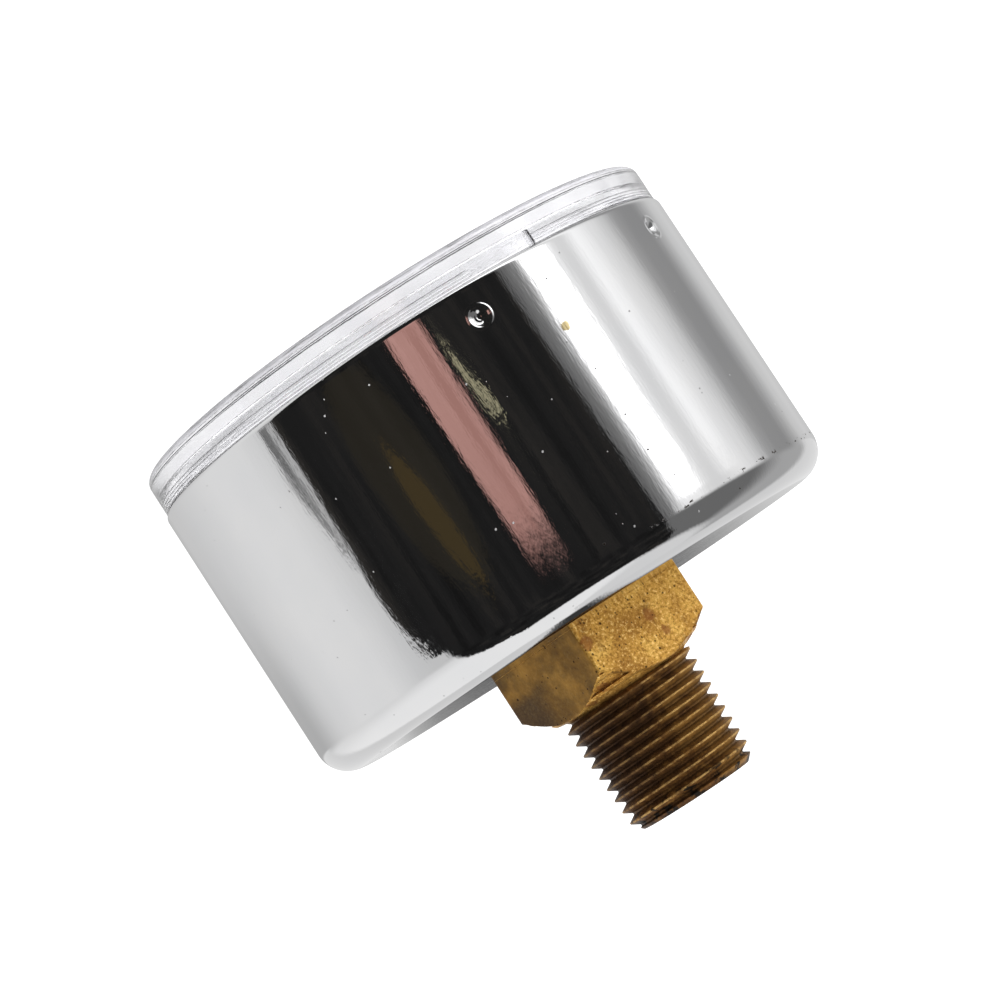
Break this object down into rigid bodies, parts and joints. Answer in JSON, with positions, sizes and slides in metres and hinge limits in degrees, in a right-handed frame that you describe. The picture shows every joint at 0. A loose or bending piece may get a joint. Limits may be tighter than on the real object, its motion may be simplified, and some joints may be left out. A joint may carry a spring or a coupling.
{
  "type": "pressure gauge",
  "caption": "Centre-back-mount dial pressure gauge: drawn chrome case, snap-in clear lens, and a brass stem with square wrench block and taper pipe thread.",
  "frame": {"origin": "centre of the inlet bore's mouth, on the free end face of the connection thread", "axes": "+Y out of the inlet along the thread's axis, the dial faces -Y, +Z towards 12 o'clock on the dial, +X towards 3 o'clock seen from the front"},
  "size_m": [0.041, 0.04, 0.041],
  "materials": {
    "chrome_case": "bright plated",
    "clear_lens": "clear moulded",
    "brass_stem": "machined, lightly tarnished",
    "brass_inner": "machined",
    "brass_tube": "drawn tube",
    "steel_screws": "turned",
    "steel_spring": "strip",
    "white_dial": "satin white with printed scale",
    "black_pointer": "matt black"
  },
  "bodies": {
    "housing": {"case": "chrome_case", "lens": "clear_lens", "stem": "brass_stem", "restrictor_screw": "brass_inner", "lock_washer": "steel_screws", "element_holder": "brass_inner", "passage_plug": "brass_inner", "bourdon_tube": "brass_tube", "hairspring": "steel_spring", "hairspring_stud": "brass_inner", "bottom_plate": "brass_inner", "top_plate": "brass_inner", "movement_pillars": "brass_inner", "movement_screws": "steel_screws", "dial_posts": "brass_inner", "dial_screws": "steel_screws", "dial": "white_dial", "stop_pin": "brass_inner"},
    "pointer_assembly": {"pinion_shaft": "steel_screws", "hairspring_collet": "brass_inner", "pointer": "black_pointer", "pointer_hub": "brass_inner"},
    "sector": {"sector_gear": "brass_inner", "sector_arbor": "steel_screws", "tail_pin": "steel_screws"},
    "link_arm": {"link": "brass_inner"},
    "tip": {"tube_tip": "brass_inner", "tip_pin": "steel_screws"}
  },
  "joints": [
    {"name": "pointer_turn", "type": "hinge", "parent": "housing", "child": "pointer_assembly", "pos_m": [0, -0.024, 0], "axis": [0, 1, 0], "range_deg": [0, 270], "deforming": ["hairspring"]},
    {"name": "sector_swing", "type": "hinge", "parent": "housing", "child": "sector", "pos_m": [0.0057, -0.0224, -0.0044], "axis": [0, 1, 0], "range_deg": [-33.75, 0]},
    {"name": "link_swing", "type": "hinge", "parent": "sector", "child": "link_arm", "pos_m": [0.00861, -0.0231, -0.00675], "axis": [0, 1, 0], "range_deg": [0, 33.75]},
    {"name": "tip_travel", "type": "slide", "parent": "housing", "child": "tip", "axis": [0.375, 0, 0.927], "range_m": [0, 0.00217], "stiffness_N_per_m": 450, "deforming": ["bourdon_tube"]}
  ],
  "couplings": [
    {"joint": "pointer_turn", "follows": "tip_travel", "rad_per_m": 2170.3},
    {"joint": "sector_swing", "follows": "tip_travel", "rad_per_m": -271.29},
    {"joint": "link_swing", "follows": "tip_travel", "rad_per_m": 271.29}
  ]
}
